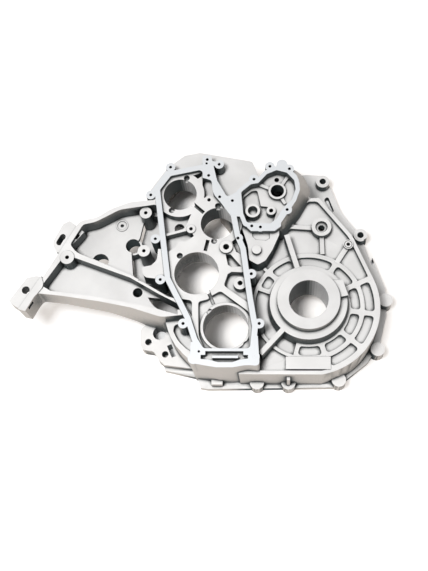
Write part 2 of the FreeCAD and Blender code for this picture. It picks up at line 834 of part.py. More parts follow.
flange = block("flange", outline("flange_outline", [
    "flange_north", "flange_corner", "flange_bolt_side", "flange_slope", "flange_north_east",
    "flange_east_high", "flange_east_low", "flange_south_east", "flange_south_turn",
    "flange_south_corner", "flange_south_west", "flange_south_step",
    "flange_south_slope", "flange_ear_south", "flange_west_low",
    "flange_west_high", "flange_plate_west", "flange_plate_north_west", "flange_plate_crown",
    "flange_plate_east",
]), "0", "Sizes.flange_top")
flange_bolts = ["flange_bolt_north", "flange_bolt_north_east"]
blind_bosses = ["blind_boss_east", "blind_boss_south_east", "blind_boss_corner",
                "blind_boss_south", "blind_boss_south_west"]
flange_bosses = block("flange_bosses", rounds("flange_boss_rounds", flange_bolts + blind_bosses,
                                              "flange_boss_radius"),
                      "0", "Sizes.bolt_boss_top")
ear = block("ear", outline("ear_outline", [
    "ear_north", "ear_west_high", "ear_west_low", "ear_notch", "ear_south_west",
    "ear_south", "ear_south_east", "ear_root",
]), "0", "Sizes.ear_top")

arm_body = block("arm_body", outline("arm_outline", [
    "arm_north_west", "arm_north_low", "arm_north_mid", "arm_north_high", "arm_root_north",
    "arm_root_south", "arm_south_root", "arm_south_high", "arm_south_mid", "arm_south_low",
    "arm_south_west",
]), "Sizes.arm_root_under", "Sizes.arm_top")
arm_pocket_north = block("arm_pocket_north", outline("arm_pocket_north_outline", [
    "pocket_north_west", "pocket_north_low", "pocket_north_high", "pocket_north_root",
    "pocket_root", "brace_root_high", "brace_mid_high", "brace_west_high", "pocket_west",
]), "Sizes.arm_north_floor", "Sizes.above")
arm_pocket_south = block("arm_pocket_south", outline("arm_pocket_south_outline", [
    "brace_west_low", "brace_mid_low", "brace_root_low", "pocket_south_root",
    "pocket_south_high", "pocket_south_mid", "pocket_south_west", "pocket_south_corner",
    "pocket_west_low",
]), "Sizes.arm_south_floor", "Sizes.above")
well = block("well", outline("well_outline", [
    "well_north", "well_east_high", "well_east_low", "well_south", "well_west_low",
    "well_west_mid", "well_west_high",
]), "Sizes.well_floor", "Sizes.above")
gap = block("gap", outline("gap_outline", [
    "gap_north_west", "gap_north_mid", "gap_north_east", "gap_tip", "gap_south",
]), "Sizes.below", "Sizes.above")
gully = block("gully", outline("gully_outline", [
    "gully_west", "gully_north", "gully_east", "gully_tip", "gully_south", "gully_south_west",
]), "Sizes.below", "Sizes.above")
arm_half_hole = disc("arm_half_hole", "arm_hole_brace", "Sizes.arm_brace_hole_radius",
                     "Sizes.below", "Sizes.above")
arm_half_hole.Angle = 180
arm_half_hole.setExpression("Placement.Rotation.Angle", "Sizes.brace_angle")
arm_under_pocket = block("arm_under_pocket", grown("arm_under_edge", doc.getObject("arm_outline"),
                                                   "-Sizes.wall", "Intersection"),
                         "Sizes.below", "Sizes.arm_web_under")

# The curve of the arm's underside, seen from the south.
under = feature("Sketcher::SketchObject", "arm_under_outline")
size("under_tip_gap", 17)
size("under_flat_end", 83)
size("under_mid_reach", -320)
size("under_root_reach", -268)
reaches = {
    "under_tip_gap": "-(Sizes.arm_reach + Sizes.under_tip_gap)",
    "under_flat_end": "-(Sizes.arm_reach - Sizes.under_flat_end)",
    "under_mid_reach": "Sizes.under_mid_reach",
    "under_root_reach": "Sizes.under_root_reach",
}
reach_at = {
    "under_tip_gap": -(value["arm_reach"] + value["under_tip_gap"]),
    "under_flat_end": -(value["arm_reach"] - value["under_flat_end"]),
    "under_mid_reach": value["under_mid_reach"],
    "under_root_reach": value["under_root_reach"],
}
side_chain = [("under_tip_gap", "below"), ("under_tip_gap", "arm_tip_under"),
              ("under_flat_end", "arm_tip_under"), ("under_mid_reach", "arm_mid_under"),
              ("under_root_reach", "arm_root_under"), ("under_root_reach", "below")]
spots = [FreeCAD.Vector(reach_at[a], value[b], 0) for a, b in side_chain]
under.addGeometry([Part.LineSegment(spots[i], spots[(i + 1) % 6]) for i in range(6)], False)
under.addConstraint([Sketcher.Constraint("Coincident", i, 2, (i + 1) % 6, 1) for i in range(6)])
rules = []
for step, (reach, level) in enumerate(side_chain):
    rules.append((Sketcher.Constraint("DistanceX", -1, 1, step, 1, reach_at[reach]), reaches[reach]))
    rules.append((Sketcher.Constraint("DistanceY", -1, 1, step, 1, value[level]), "Sizes." + level))
bind(under, rules)
under.Placement = FreeCAD.Placement(FreeCAD.Vector(0, 0, 0), FreeCAD.Rotation(FreeCAD.Vector(1, 0, 0), 90))
size("under_cut_half", 300)
arm_under = feature("Part::Extrusion", "arm_under", Base=under, DirMode="Custom", Solid=True)
arm_under.Dir = FreeCAD.Vector(0, 1, 0)
arm_under.setExpression("LengthFwd", "Sizes.under_cut_half")
arm_under.setExpression("LengthRev", "Sizes.under_cut_half")
arm_holes = [
    disc("arm_north_bore", "arm_hole_north", "Sizes.arm_hole_radius", "Sizes.below", "Sizes.above"),
    disc("arm_south_bore", "arm_hole_south", "Sizes.arm_small_hole_radius", "Sizes.below", "Sizes.above"),
]
arm_under_pocket.setExpression("LengthFwd", "Sizes.arm_web_under")
arm_shell = less("arm_shell", arm_body, fused("arm_cuts", [
    arm_pocket_north, arm_pocket_south, arm_under_pocket, arm_under, gap, gully, arm_half_hole,
] + arm_holes))
well_tray = block("well_tray", doc.getObject("well_outline"), "Sizes.well_floor - Sizes.wall",
                  "Sizes.arm_north_floor")
arm = less("arm", fused("arm_and_tray", [arm_shell, well_tray]), well)
gusset = block("gusset", outline("gusset_outline", [
    "gusset_north_west", "gusset_north_mid", "gusset_north_east", "gusset_north",
    "gusset_east_high", "gusset_east_low", "gusset_south", "gusset_south_west",
]), "Sizes.well_floor - Sizes.wall", "Sizes.tall_boss_top")
arm_bosses = [
    disc("arm_tip_boss", "arm_boss_tip", "Sizes.arm_tip_boss_radius", "Sizes.arm_web_under",
         "Sizes.machined_top"),
    disc("arm_north_boss", "arm_boss_north", "Sizes.arm_boss_radius",
         "Sizes.well_floor - Sizes.wall", "Sizes.web_face"),
    disc("arm_root_boss", "arm_boss_root", "Sizes.arm_boss_radius",
         "Sizes.well_floor - Sizes.wall", "Sizes.web_face"),
]
lug = block("lug", outline("lug_outline", [
    "lug_north_west", "lug_north_east", "lug_east", "lug_root_high", "lug_root_low",
    "lug_south", "lug_west",
]), "Sizes.lug_under", "Sizes.lug_top")
shelf = block("shelf", outline("shelf_outline", [
    "shelf_north_west", "shelf_north_east", "shelf_root_high", "shelf_root_low",
    "shelf_south_east", "shelf_south_west", "shelf_west",
]), "Sizes.shelf_under", "Sizes.shelf_top")
toe = block("toe", outline("toe_outline", [
    "toe_north", "toe_east", "toe_south_east", "toe_south", "toe_west",
]), "Sizes.toe_under", "Sizes.machined_top")
land = less("land", block("land_body", outline("land_outline", [
    "land_north_west", "land_west_high", "land_west_low", "land_south_west",
    "land_south", "land_corner", "land_inner_south", "land_inner_north",
]), "0", "Sizes.land_top"), block("land_pocket", outline("land_pocket_outline", [
    "land_pocket_north_west", "land_pocket_west", "land_pocket_south_west", "land_pocket_south",
    "land_pocket_corner", "land_pocket_inner_low", "land_pocket_inner_high",
]), "Sizes.land_floor", "Sizes.above"))
land_hollow = block("land_hollow", grown("land_hollow_edge", doc.getObject("land_outline"),
                                         "-Sizes.wall", "Intersection"),
                    "Sizes.below", "Sizes.land_floor - Sizes.wall")
arm_extras = [gusset, lug, shelf, toe, land] + arm_bosses

rim_bolts = ["rim_bolt_west", "rim_bolt_north_west", "rim_bolt_north", "rim_bolt_north_east",
             "rim_bolt_saddle", "rim_bolt_saddle_east", "rim_bolt_west_mid", "rim_bolt_west_low",
             "rim_bolt_south_west", "rim_bolt_toe", "rim_bolt_heel", "rim_bolt_east_low",
             "rim_bolt_east", "rim_bolt_neck", "rim_bolt_spine"]
pump_bolts = ["pump_bolt_west", "pump_bolt_north", "pump_bolt_north_east",
              "pump_bolt_south_east", "pump_bolt_toe", "pump_bolt_heel"]
rim_bosses = block("rim_bosses", rounds("rim_boss_rounds", rim_bolts + pump_bolts, "rim_boss_radius"),
                   "Sizes.roof_under", "Sizes.machined_top")

outside = fused("outside", [dome, case, south_end, spine, saddle, plate, pump, flank, pump_base,
                            pump_toe_land, rim_land,
                            tongue, flange, flange_bosses, ear, arm, rim_bosses, hub_foot,
                            dome_ring] + spokes + arm_extras + dome_extras)
web_pockets = []
for label, names in [
    ("input_pocket", ["north_west", "north_east", "east", "south_east", "south_west"]),
    ("west_pocket", ["north_west", "north_east", "east", "mid", "shelf", "south_east", "south"]),
    ("spine_pocket", ["north_west", "north_east", "south_east", "south_west"]),
    ("crown_pocket", ["west", "north", "east", "south"]),
    ("neck_pocket", ["north_west", "north_east", "east", "south"]),
    ("brace_pocket", ["north", "east", "south_east", "south", "west"]),
    ("east_pocket", ["north_east", "north", "north_west", "west", "south"]),
    ("wedge_pocket", ["north", "east", "south"]),
]:
    corners = ["%s_%s" % (label, name) for name in names]
    web_pockets.append(block(label, outline(label + "_outline", corners),
                             "Sizes.web_pocket_floor", "Sizes.web_face + Sizes.overlap"))
fourth_pocket = block("fourth_pocket", outline("fourth_pocket_outline", [
    "fourth_pocket_north_west", "fourth_pocket_north", "fourth_pocket_step",
    "fourth_pocket_crown", "fourth_pocket_north_east", "fourth_pocket_south_east",
    "fourth_pocket_south", "fourth_pocket_west",
]), "Sizes.fourth_floor", "Sizes.web_face + Sizes.overlap")
rim_slot = block("rim_slot", outline("rim_slot_outline", [
    "slot_north_west", "slot_north_east", "slot_step_east", "slot_east_high", "slot_east_low",
    "slot_south_east", "slot_bow_east", "slot_bow_west", "slot_south_west", "slot_west_low",
    "slot_west_high", "slot_step_west",
]), "Sizes.slot_floor", "Sizes.above")
pump_low = block("pump_low", outline("pump_low_outline", [
    "pump_low_north_west", "pump_low_north", "pump_low_step", "pump_low_mid", "pump_low_inner",
    "pump_low_east", "pump_low_south_east", "pump_low_south", "pump_low_west",
]), "Sizes.pump_low_floor", "Sizes.pump_floor + Sizes.overlap")
pad = block("pad", outline("pad_outline", [
    "pad_north_west", "pad_west", "pad_south_west", "pad_south_east", "pad_east", "pad_north_east",
]), "Sizes.pad_floor", "Sizes.tongue_top + Sizes.overlap")
second_relief = disc("second_relief", "second", "Sizes.small_bore_radius + Sizes.relief",
                     "Sizes.below", "Sizes.sleeve_end")
hollows = fused("hollows", [case_hollow, land_hollow, second_relief, dome_hollow, plate_hollow,
                            pump_hollow, tongue_hollow,
                            recess, pump_pocket, fourth_pocket, rim_slot, pump_low, pad] + web_pockets)
shell = less("shell", outside, hollows)

# Bearing rings with their sleeves, and the main hub.
rings = [
    disc("input_ring", "input", "Sizes.small_ring_radius", "Sizes.sleeve_end", "Sizes.web_face"),
    disc("second_ring", "second", "Sizes.small_ring_radius", "Sizes.sleeve_end", "Sizes.web_face"),
    disc("third_ring", "third", "Sizes.large_ring_radius", "Sizes.sleeve_end", "Sizes.web_face"),
    disc("fourth_ring", "fourth", "Sizes.fourth_ring_radius", "Sizes.sleeve_end", "Sizes.fourth_ring_top"),
    disc("hub", "main", "Sizes.hub_radius", "Sizes.hub_end", "Sizes.machined_top"),
]
fittings = [
    disc("spine_stud", "spine_boss", "Sizes.recess_boss_radius", "Sizes.web_under", "Sizes.web_face"),
    disc("gallery_stud", "gallery_boss", "Sizes.recess_boss_radius", "Sizes.web_under",
         "Sizes.gallery_stud_top"),
    disc("tall_stud", "tall_boss", "Sizes.tall_boss_radius", "Sizes.web_under", "Sizes.tall_boss_top"),
    disc("stud_seat", "stud_boss", "Sizes.tall_boss_radius", "Sizes.web_under", "Sizes.web_face"),
    rib("slot_tongue", "slot_tongue_west", "slot_tongue_east", "slot_tongue_width",
        "Sizes.web_pocket_floor", "Sizes.machined_top"),
    disc("pump_collar", "pump_shaft", "Sizes.pump_collar_radius", "Sizes.pump_shaft_end",
         "Sizes.pump_fitting_top"),
    disc("pump_cup_wall", "pump_cup", "Sizes.pump_cup_radius", "Sizes.pump_shaft_end",
         "Sizes.pump_cup_top"),
    disc("pump_stud_wall", "pump_stud", "Sizes.pump_boss_radius", "Sizes.pump_shaft_end",
         "Sizes.pump_fitting_top"),
    rib("pump_rib_1", "pump_shaft", "pump_rib_east", "rib_width", "Sizes.web_under", "Sizes.pump_rib_top"),
    rib("pump_rib_2", "pump_shaft", "pump_rib_west", "rib_width", "Sizes.web_under", "Sizes.pump_rib_top"),
    rib("pump_rib_3", "pump_shaft", "pump_rib_south", "rib_width", "Sizes.web_under", "Sizes.pump_rib_top"),
    disc("tongue_button", "button", "Sizes.button_radius", "Sizes.tongue_top - Sizes.wall",
         "Sizes.button_top"),
]
with_rings = fused("with_rings", [shell] + rings + fittings)
bores = [
    disc("input_bore", "input", "Sizes.small_bore_radius", "Sizes.below", "Sizes.web_face"),
    disc("second_bore", "second", "Sizes.small_bore_radius", "Sizes.below", "Sizes.web_face"),
    disc("third_bore", "third", "Sizes.large_bore_radius", "Sizes.below", "Sizes.web_face"),
    disc("fourth_bore", "fourth", "Sizes.large_bore_radius", "Sizes.below", "Sizes.web_face"),
    disc("main_bore", "main", "Sizes.main_bore_radius", "Sizes.below", "Sizes.above"),
]
flange_holes = block("flange_holes", rounds("flange_hole_rounds", flange_bolts, "flange_hole_radius"),
                     "Sizes.below", "Sizes.bolt_boss_top + Sizes.overlap")
ear_holes = block("ear_holes", rounds("ear_hole_rounds", ["ear_hole_west", "ear_hole_south"],
                                      "ear_hole_radius"),
                  "Sizes.below", "Sizes.ear_top + Sizes.overlap")
ear_big_hole = disc("ear_big_bore", "ear_big_hole", "Sizes.ear_big_hole_radius", "Sizes.below",
                    "Sizes.ear_top + Sizes.overlap")
shelf_bore = disc("shelf_bore", "shelf_hole", "Sizes.shelf_hole_radius", "Sizes.below", "Sizes.above")
lug_slot = fused("lug_slot", [
    rib("lug_slot_middle", "lug_slot_high", "lug_slot_low", "lug_slot_radius * 2", "Sizes.below",
        "Sizes.above"),
    block("lug_slot_ends", rounds("lug_slot_rounds", ["lug_slot_high", "lug_slot_low"], "lug_slot_radius"),
          "Sizes.below", "Sizes.above"),
])
ear_slot = rib("ear_slot", "ear_slot_high", "ear_slot_low", "slot_width", "Sizes.below",
               "Sizes.ear_top + Sizes.overlap")
flange_gaps = []
for label in ("flange_gap_north", "flange_gap_east"):
    corners = [label + "_" + name for name in ("west", "north", "east", "south")]
    flange_gaps.append(block(label, outline(label + "_outline", corners), "Sizes.below",
                             "Sizes.bolt_boss_top + Sizes.overlap"))
fitting_holes = [
    disc("pump_shaft_bore", "pump_shaft", "Sizes.pump_shaft_radius", "Sizes.below", "Sizes.above"),
    disc("pump_cup_hollow", "pump_cup", "Sizes.pump_cup_bore", "Sizes.pump_low_floor", "Sizes.above"),
    disc("cap_cup", "cap", "Sizes.cap_cup_radius", "Sizes.cap_floor", "Sizes.above"),
    shelf_bore, lug_slot, ear_slot,
]
holes = fused("holes", bores + fitting_holes + flange_gaps + [flange_holes, ear_holes, ear_big_hole])
housing = less("housing", with_rings, holes, True)
housing.setExpression("Placement.Base.z", "-Sizes.machined_top")

doc.recompute()
for made in doc.Objects:
    if "Invalid" in made.State or "Error" in made.State:
        raise RuntimeError("%s did not build: %s" % (made.Label, made.State))
    shape = getattr(made, "Shape", None)
    if shape is not None and (shape.isNull() or not shape.isValid()):
        raise RuntimeError("%s has no sound shape" % made.Label)
os.makedirs("parts", exist_ok=True)
housing.Shape.exportStep("parts/housing.step")
box = housing.Shape.BoundBox
print("solids", len(housing.Shape.Solids), "faces", len(housing.Shape.Faces))
print("box", box)
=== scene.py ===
import json
import math
import bmesh
import bpy
from mathutils import Matrix, Vector

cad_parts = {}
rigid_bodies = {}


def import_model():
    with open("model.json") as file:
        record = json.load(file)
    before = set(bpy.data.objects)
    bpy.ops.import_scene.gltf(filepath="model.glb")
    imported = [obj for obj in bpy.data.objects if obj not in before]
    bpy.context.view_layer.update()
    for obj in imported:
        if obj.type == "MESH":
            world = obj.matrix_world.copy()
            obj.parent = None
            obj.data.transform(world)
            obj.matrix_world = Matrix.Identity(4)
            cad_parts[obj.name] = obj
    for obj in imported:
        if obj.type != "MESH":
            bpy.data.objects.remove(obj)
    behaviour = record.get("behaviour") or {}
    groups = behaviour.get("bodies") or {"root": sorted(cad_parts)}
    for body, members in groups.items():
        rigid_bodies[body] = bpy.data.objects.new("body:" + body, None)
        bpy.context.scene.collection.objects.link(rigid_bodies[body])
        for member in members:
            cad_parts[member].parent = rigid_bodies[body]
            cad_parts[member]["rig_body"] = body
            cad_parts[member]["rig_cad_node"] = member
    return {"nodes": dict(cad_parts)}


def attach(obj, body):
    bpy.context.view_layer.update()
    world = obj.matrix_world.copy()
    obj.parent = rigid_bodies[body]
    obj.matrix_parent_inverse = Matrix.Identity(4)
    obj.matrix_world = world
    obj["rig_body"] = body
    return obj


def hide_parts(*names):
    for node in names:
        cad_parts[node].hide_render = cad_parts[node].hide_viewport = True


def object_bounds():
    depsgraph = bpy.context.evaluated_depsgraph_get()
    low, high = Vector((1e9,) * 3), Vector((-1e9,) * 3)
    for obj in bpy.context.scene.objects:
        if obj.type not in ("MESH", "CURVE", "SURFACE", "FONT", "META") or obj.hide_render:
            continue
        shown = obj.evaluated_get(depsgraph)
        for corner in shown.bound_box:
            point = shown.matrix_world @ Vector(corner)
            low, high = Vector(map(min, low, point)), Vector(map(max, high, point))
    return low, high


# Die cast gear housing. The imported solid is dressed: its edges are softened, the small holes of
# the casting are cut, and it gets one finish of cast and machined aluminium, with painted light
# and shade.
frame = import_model()
cad_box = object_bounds()
MM = 0.001
MACHINED_TOP = cad_box[1].z
FLOOR = cad_box[0].z

# Levels, in millimetres from the machined top.
STEP = -17
WEB = -7
PUMP_FLOOR = -17
TONGUE = -10
FLANGE = -106
DOME = -36
ARM_FLOOR = -33


def only(piece):
    """Deselects everything, then takes one piece."""
    bpy.ops.object.select_all(action="DESELECT")
    piece.select_set(True)
    bpy.context.view_layer.objects.active = piece


def rod(x, y, radius, bottom, top, sides=24):
    """An upright rod, in millimetres, used to cut a hole or to stand as a pin."""
    bpy.ops.object.select_all(action="DESELECT")
    bpy.ops.mesh.primitive_cylinder_add(
        vertices=sides, radius=radius * MM, depth=(top - bottom) * MM,
        location=(x * MM, y * MM, (top + bottom) / 2 * MM))
    return bpy.context.active_object


def joined(pieces, name):
    """Makes several pieces one, with their places in the mesh."""
    bpy.ops.object.select_all(action="DESELECT")
    for piece in pieces:
        piece.select_set(True)
    bpy.context.view_layer.objects.active = pieces[0]
    bpy.ops.object.join()
    whole = bpy.context.active_object
    whole.name = name
    bpy.ops.object.transform_apply(location=True, rotation=True, scale=True)
    return whole


def casting_copy():
    """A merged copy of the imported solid, with its flat faces whole again."""
    source = frame["nodes"]["housing"]
    only(source)
    bpy.ops.object.duplicate()
    copy = bpy.context.active_object
    bpy.ops.object.parent_clear(type="CLEAR_KEEP_TRANSFORM")
    copy.name = "casting"
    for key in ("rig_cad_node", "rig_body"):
        if key in copy:
            del copy[key]
    bpy.ops.object.mode_set(mode="EDIT")
    bpy.ops.mesh.select_all(action="SELECT")
    bpy.ops.mesh.remove_doubles(threshold=0.02 * MM)
    bpy.ops.mesh.dissolve_limited(angle_limit=math.radians(1))
    bpy.ops.object.mode_set(mode="OBJECT")
    return copy


def bar(x0, y0, x1, y1, width, bottom, top):
    """A straight upright bar between two places, in millimetres."""
    run = math.hypot(x1 - x0, y1 - y0)
    bpy.ops.object.select_all(action="DESELECT")
    bpy.ops.mesh.primitive_cube_add(
        size=1, location=((x0 + x1) / 2 * MM, (y0 + y1) / 2 * MM, (top + bottom) / 2 * MM),
        rotation=(0, 0, math.atan2(y1 - y0, x1 - x0)))
    made = bpy.context.active_object
    made.scale = (run * MM, width * MM, (top - bottom) * MM)
    return made


def cut(body, cutter):
    """Takes the cutter's shape out of the body."""
    only(body)
    taken = body.modifiers.new("holes", "BOOLEAN")
    taken.operation = "DIFFERENCE"
    taken.solver = "EXACT"
    taken.object = cutter
    bpy.ops.object.modifier_apply(modifier=taken.name)
    bpy.data.objects.remove(cutter)


def collar(x, y, outer, inner, bottom, top):
    """An upright ring, in millimetres."""
    made = rod(x, y, outer, bottom, top)
    cut(made, rod(x, y, inner, bottom - 1, top + 1))
    return made


# Holes and forms. Each place is x and y in millimetres from the middle of the main bore.
CLEAR = 2
TAPPED_RADIUS = 2.5
TAPPED_DEPTH = 18
DOWEL_RADIUS = 2
NOTCH_RADIUS = 5
NOTCH_DEPTH = 9
RIM_HOLES = [
    (-257, 181), (-226, 231), (-165, 244), (-145, 235), (-143, 176), (-122, 169), (-246, 103),
    (-235, 33), (-196, -40), (-177, -95), (-85, -94), (-77, -40), (-90, 42), (-112, 103),
    (-162, 215), (-87, 207), (-61, 230), (-29, 225), (-33, 152), (-76, 122), (-90, 124),
]
DOWEL_HOLES = [(-166, 237), (-170, -85), (-41, 235)]
BORE_NOTCHES = [
    (-199, 214), (-222, 156), (-151, 101), (-146, 163), (-206, 76), (-156, -17), (-97, -70),
]
# Two ends, width, bottom and top.
GROOVES = [
    (-189, 169, -169, 151, 6, WEB - 12, WEB + CLEAR),           # oil way at the input bore
    (-161, 103, -165, 84, 6, WEB - 12, WEB + CLEAR),            # oil way above the third bore
    (-159, 16, -150, -4, 6, WEB - 12, WEB + CLEAR),             # oil way to the fourth bore
    (-70, 140, -56, 131, 3, TONGUE - 4, TONGUE + CLEAR),        # gasket groove, outer
    (-63, 143, -51, 135, 3, TONGUE - 4, TONGUE + CLEAR),        # gasket groove, inner
]
# Radius, bottom and top after the place.
PLAIN_HOLES = [
    (-389, 72, 3.3, -25, CLEAR),                                # brace stud of the arm
    (-265, 152, 3, WEB - 20, WEB + CLEAR),                      # north boss of the arm
    (-265, 85, 3, WEB - 20, WEB + CLEAR),                       # root boss of the arm
    (-308, 140, 3, ARM_FLOOR - 5, ARM_FLOOR + CLEAR),           # ringed hole in the tray
    (-210, 130, 8.3, -45, -20),                                 # oil way below the input bore
    (-161, 174, 3, WEB - 15, WEB + CLEAR),                      # spine boss
    (-189, 122, 3, WEB - 15, WEB + 4),                          # gallery boss
    (-131, 89, 5, -25, CLEAR),                                  # tall boss
    (-108, 29, 4, -25, WEB + CLEAR),                            # stud boss
    (-59, 155, 3.5, -30, TONGUE + CLEAR),                       # pump stud
    (-50, 213, 4, -30, PUMP_FLOOR + CLEAR),                     # pump pocket
    (66, 104, 3, -45, DOME + 5),                                # knob on the dome
    (23, 133, 5.5, -55, -30),                                   # cup in the cap
]
SLOTS = [
    (-379, 107, -374, 115, 4.5, -20, -5),                       # end wall of the arm
    (-440, -2, -446, -13, 9, -13, -4),                          # toe of the arm
]
# Radius and bottom after the place.
ARM_SLEEVES = [(-288, 104, 12, -66), (-275, 20, 8, -78), (-341, 76, 14, -58)]
SLEEVE_WALL = 3
EDGE_LOBES = [(-178, -96), (-85, -93), (-41, 233)]
LOBE_RADIUS = 9


def small_holes():
    """Every tapped, dowel and oil hole that the solid leaves plain."""
    cutters = [rod(x, y, TAPPED_RADIUS, -TAPPED_DEPTH, CLEAR, 16) for x, y in RIM_HOLES]
    cutters += [rod(x, y, DOWEL_RADIUS, -TAPPED_DEPTH, CLEAR, 16) for x, y in DOWEL_HOLES]
    cutters += [rod(x, y, NOTCH_RADIUS, WEB - NOTCH_DEPTH, WEB + CLEAR, 20)
                for x, y in BORE_NOTCHES]
    cutters += [bar(*groove) for groove in GROOVES]
    cutters += [rod(*hole) for hole in PLAIN_HOLES]
    cutters += [bar(*slot) for slot in SLOTS]
    return joined(cutters, "hole_cutters")


# The dome's pockets: spokes by their angle in degrees, rows by their radii.
INNER_SPOKES = [160, 138, 106.5, 57.5, 25, -7.5, -40, -72.5, -105]
OUTER_SPOKES = [25, -7.5, -40, -72.5]
LONG_SPOKES = [
    (106.5, 60, 120, STEP), (228, 60, 113, STEP), (57.5, 86, 119, DOME), (25, 62, 112, DOME),
]
CAP_RIBS = [(23, 133, -28, 137), (23, 133, 24, 88)]
RIB_HALF = 4
RIB_ROUND = 4.5
RIB_FOOT = 8
INNER_ROW = (62, 85.5, 67.5, 82.5)
OUTER_ROW = (85.5, 112.5, 88.5, 105)


def sector(inner, outer, start, end, gap, rounding, bottom, top):
    """A stretch of a ring between two spokes, clear of their middles and round at its corners."""
    corners = (
        (inner + rounding, start, 1, 180, 270), (outer - rounding, start, 1, -90, 0),
        (outer - rounding, end, -1, 0, 90), (inner + rounding, end, -1, 90, 180),
    )
    outline = []
    spans = []
    for reach, side, way, first, last in corners:
        middle = side + way * math.degrees(math.asin((gap + rounding) / reach))
        spans.append(middle)
        first += side if first in (-90, 90) else middle
        last += side if last in (90, 270) else middle
        for step in range(6):
            turn = math.radians(first + (last - first) * step / 5)
            outline.append((reach * math.cos(math.radians(middle)) + rounding * math.cos(turn),
                            reach * math.sin(math.radians(middle)) + rounding * math.sin(turn)))
        if (reach, side) == corners[1][:2]:
            far = end - math.degrees(math.asin((gap + rounding) / reach))
            outline += [(outer * math.cos(math.radians(middle + (far - middle) * step / 8)),
                         outer * math.sin(math.radians(middle + (far - middle) * step / 8)))
                        for step in range(1, 8)]
    outline += [(inner * math.cos(math.radians(spans[3] + (spans[0] - spans[3]) * step / 8)),
                 inner * math.sin(math.radians(spans[3] + (spans[0] - spans[3]) * step / 8)))
                for step in range(1, 8)]
    count = len(outline)
    places = [(x * MM, y * MM, level * MM) for level in (bottom, top) for x, y in outline]
    sides = [(i, (i + 1) % count, (i + 1) % count + count, i + count) for i in range(count)]
    shape = bpy.data.meshes.new("sector")
    lid = tuple(range(count, 2 * count))
    base = tuple(range(count - 1, -1, -1))
    shape.from_pydata(places, [], sides + [base, lid])
    made = bpy.data.objects.new("sector", shape)
    bpy.context.scene.collection.objects.link(made)
    only(made)
    bpy.ops.object.mode_set(mode="EDIT")
    bpy.ops.mesh.select_all(action="SELECT")
    bpy.ops.mesh.remove_doubles(threshold=0.01 * MM)
    bpy.ops.object.mode_set(mode="OBJECT")
    return made


def dome_cells():
    """The dome's two rows of round-cornered pockets, as frames over its thin ribs."""
    frames = []
    for row, spokes in ((INNER_ROW, INNER_SPOKES), (OUTER_ROW, OUTER_SPOKES)):
        for high, low in zip(spokes, spokes[1:]):
            border = sector(row[0], row[1], low, high, 0, 0, DOME - RIB_FOOT, DOME + 0.1)
            pocket = sector(row[2], row[3], low, high, RIB_HALF, RIB_ROUND, DOME - 10, DOME + 2)
            cut(border, pocket)
            frames.append(border)
    for angle, near, far, level in LONG_SPOKES:
        across, along = math.cos(math.radians(angle)), math.sin(math.radians(angle))
        frames.append(bar(near * across, near * along, far * across, far * along,
                          2 * RIB_HALF, DOME - RIB_FOOT, level + 0.2))
    for x0, y0, x1, y1 in CAP_RIBS:
        rib = bar(x0, y0, x1, y1, 2 * RIB_HALF - 1, DOME - RIB_FOOT, DOME + 0.2)
        cut(rib, rod(x0, y0, 13, DOME - 10, DOME + 2))
        frames.append(rib)
    return frames


def small_forms():
    """The low forms that stand on the casting: hole sleeves, the tray's ring, a button, a tag."""
    forms = []
    for x, y in EDGE_LOBES:
        forms.append(rod(x, y, LOBE_RADIUS, -45, -0.05, 40))
    for x, y, radius, bottom in ARM_SLEEVES:
        forms.append(collar(x, y, radius + SLEEVE_WALL, radius, bottom, ARM_FLOOR - 5))
    forms.append(collar(-308, 140, 10, 8.2, ARM_FLOOR - 1, ARM_FLOOR + 1.4))
    forms.append(rod(-82, 84, 7.3, TONGUE - 1, TONGUE + 8, 40))
    forms.append(bar(-157, -111, -139, -111, 11, FLANGE - 1, FLANGE + 15))
    forms.append(collar(66, 104, 8, 5.5, DOME, DOME + 3))
    forms.append(bar(-36, -94, 34, -94, 20, DOME - 1, DOME + 1.4))
    return joined(forms + dome_cells(), "small_forms")


# Reach, shortest upright edge, inner or not, least and most turn in degrees.
CORNER_ROUNDS = [(4, 4, True, 40, 125), (7, 4, True, 12, 40), (7, 4, False, 12, 100)]


def fillet_corners(body, reach, shortest, inner, least, most):
    """Rounds the upright corners, inner or outer, whose turn lies between two angles."""
    mesh = bmesh.new()
    mesh.from_mesh(body.data)
    corners = []
    for edge in mesh.edges:
        low, high = sorted(edge.verts, key=lambda corner: corner.co.z)
        run = high.co - low.co
        upright = run.z > 0.99 * run.length and run.z > shortest * MM
        if not upright or not edge.is_manifold or edge.is_convex == inner:
            continue
        turn = edge.calc_face_angle()
        widths = [max((side.co - low.co).xy.length for side in face.verts)
                  for face in edge.link_faces]
        if math.radians(least) < turn < math.radians(most) and min(widths) > 2.3 * reach * MM:
            corners.append(edge)
    bmesh.ops.bevel(mesh, geom=corners, offset=reach * MM, offset_type="OFFSET", segments=4,
                    profile=0.5, affect="EDGES", clamp_overlap=False)
    mesh.to_mesh(body.data)
    mesh.free()


def soften(body, width, angle):
    """Breaks the sharp edges, and keeps the flat faces evenly lit."""
    only(body)
    edge = body.modifiers.new("soft_edges", "BEVEL")
    edge.limit_method = "ANGLE"
    edge.angle_limit = math.radians(angle)
    edge.width = width * MM
    edge.segments = 2
    edge.use_clamp_overlap = True
    edge.harden_normals = False
    bpy.ops.object.modifier_apply(modifier=edge.name)
    bpy.ops.object.shade_smooth_by_angle(angle=math.radians(35))
    flat = body.modifiers.new("flat_faces", "WEIGHTED_NORMAL")
    flat.mode = "FACE_AREA"
    flat.weight = 50
    flat.keep_sharp = True
    bpy.ops.object.modifier_apply(modifier=flat.name)


def add(tree, kind, **sockets):
    """A node with fixed values on its own sockets."""
    made = tree.nodes.new(kind)
    for name, setting in sockets.items():
        made.inputs[name.replace("_", " ")].default_value = setting
    return made


